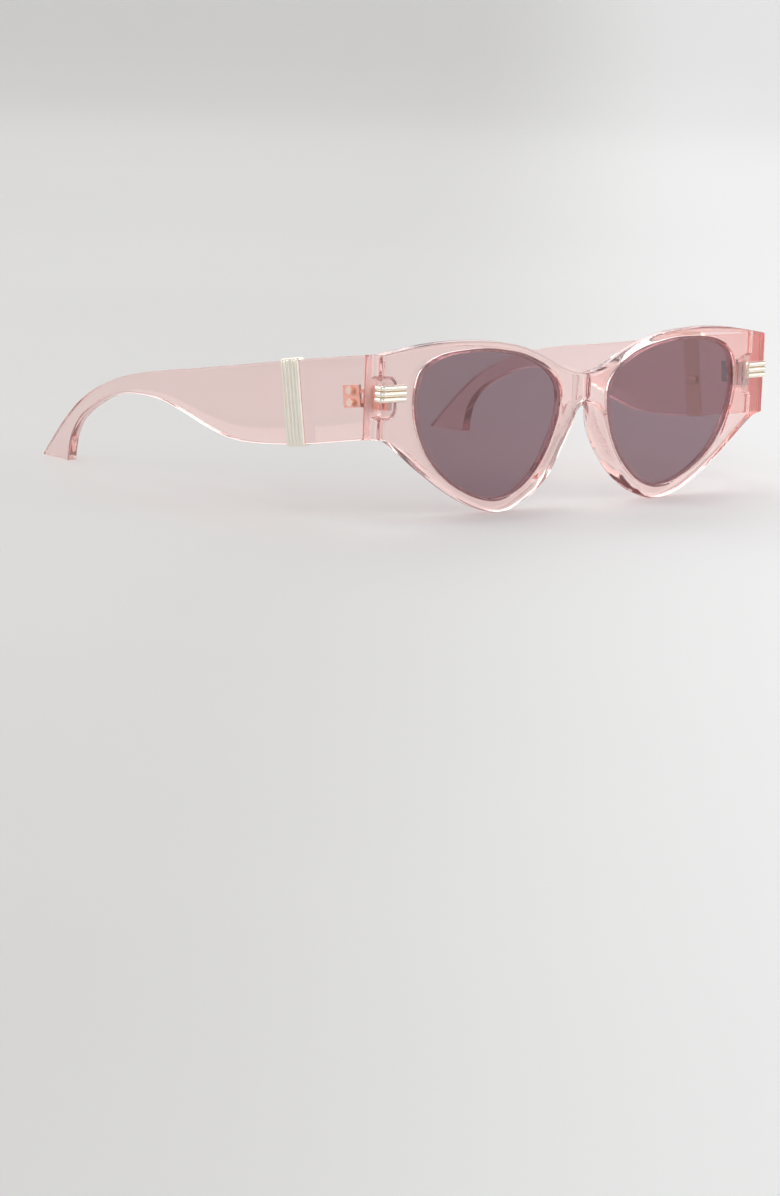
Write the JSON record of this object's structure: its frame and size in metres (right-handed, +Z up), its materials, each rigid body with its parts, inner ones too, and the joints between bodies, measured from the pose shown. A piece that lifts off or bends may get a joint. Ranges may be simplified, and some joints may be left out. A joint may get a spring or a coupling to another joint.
{
  "type": "cat eye sunglasses",
  "caption": "Pair of sunglasses with upswept lenses in a thick clear tinted frame, wide curved temples that fold on barrel hinges, ribbed metal trims and bands.",
  "frame": {"origin": "centre of the bounding box at its lowest level, the plane that the rims and the temple tips stand on", "axes": "+X towards the wearer's left, -Y the way the wearer looks, so the temples run towards +Y, +Z up"},
  "size_m": [0.158, 0.1474, 0.0477],
  "materials": {
    "frame_plastic": "polished, see-through pale pink",
    "lens_smoke": "polished, mauve-grey tint",
    "trim_gold": "polished pale gold",
    "hinge_steel": "satin"
  },
  "bodies": {
    "front": {"front_frame": "frame_plastic", "lens_right": "lens_smoke", "lens_left": "lens_smoke", "front_hinge_right": "hinge_steel", "front_hinge_left": "hinge_steel", "hinge_screw_right": "hinge_steel", "hinge_screw_left": "hinge_steel", "corner_trim_right": "trim_gold", "corner_trim_left": "trim_gold"},
    "temple_right": {"temple_right": "frame_plastic", "temple_hinge_right": "hinge_steel", "temple_hinge_rivets_right": "trim_gold", "temple_band_right": "trim_gold"},
    "temple_left": {"temple_left": "frame_plastic", "temple_hinge_left": "hinge_steel", "temple_hinge_rivets_left": "trim_gold", "temple_band_left": "trim_gold"}
  },
  "joints": [
    {"name": "temple_fold_right", "type": "hinge", "parent": "front", "child": "temple_right", "pos_m": [-0.06759, -0.062, 0.0328], "axis": [0, 0, -1], "range_deg": [0, 87]},
    {"name": "temple_fold_left", "type": "hinge", "parent": "front", "child": "temple_left", "pos_m": [0.06759, -0.062, 0.0328], "axis": [0, 0, 1], "range_deg": [0, 93]}
  ]
}
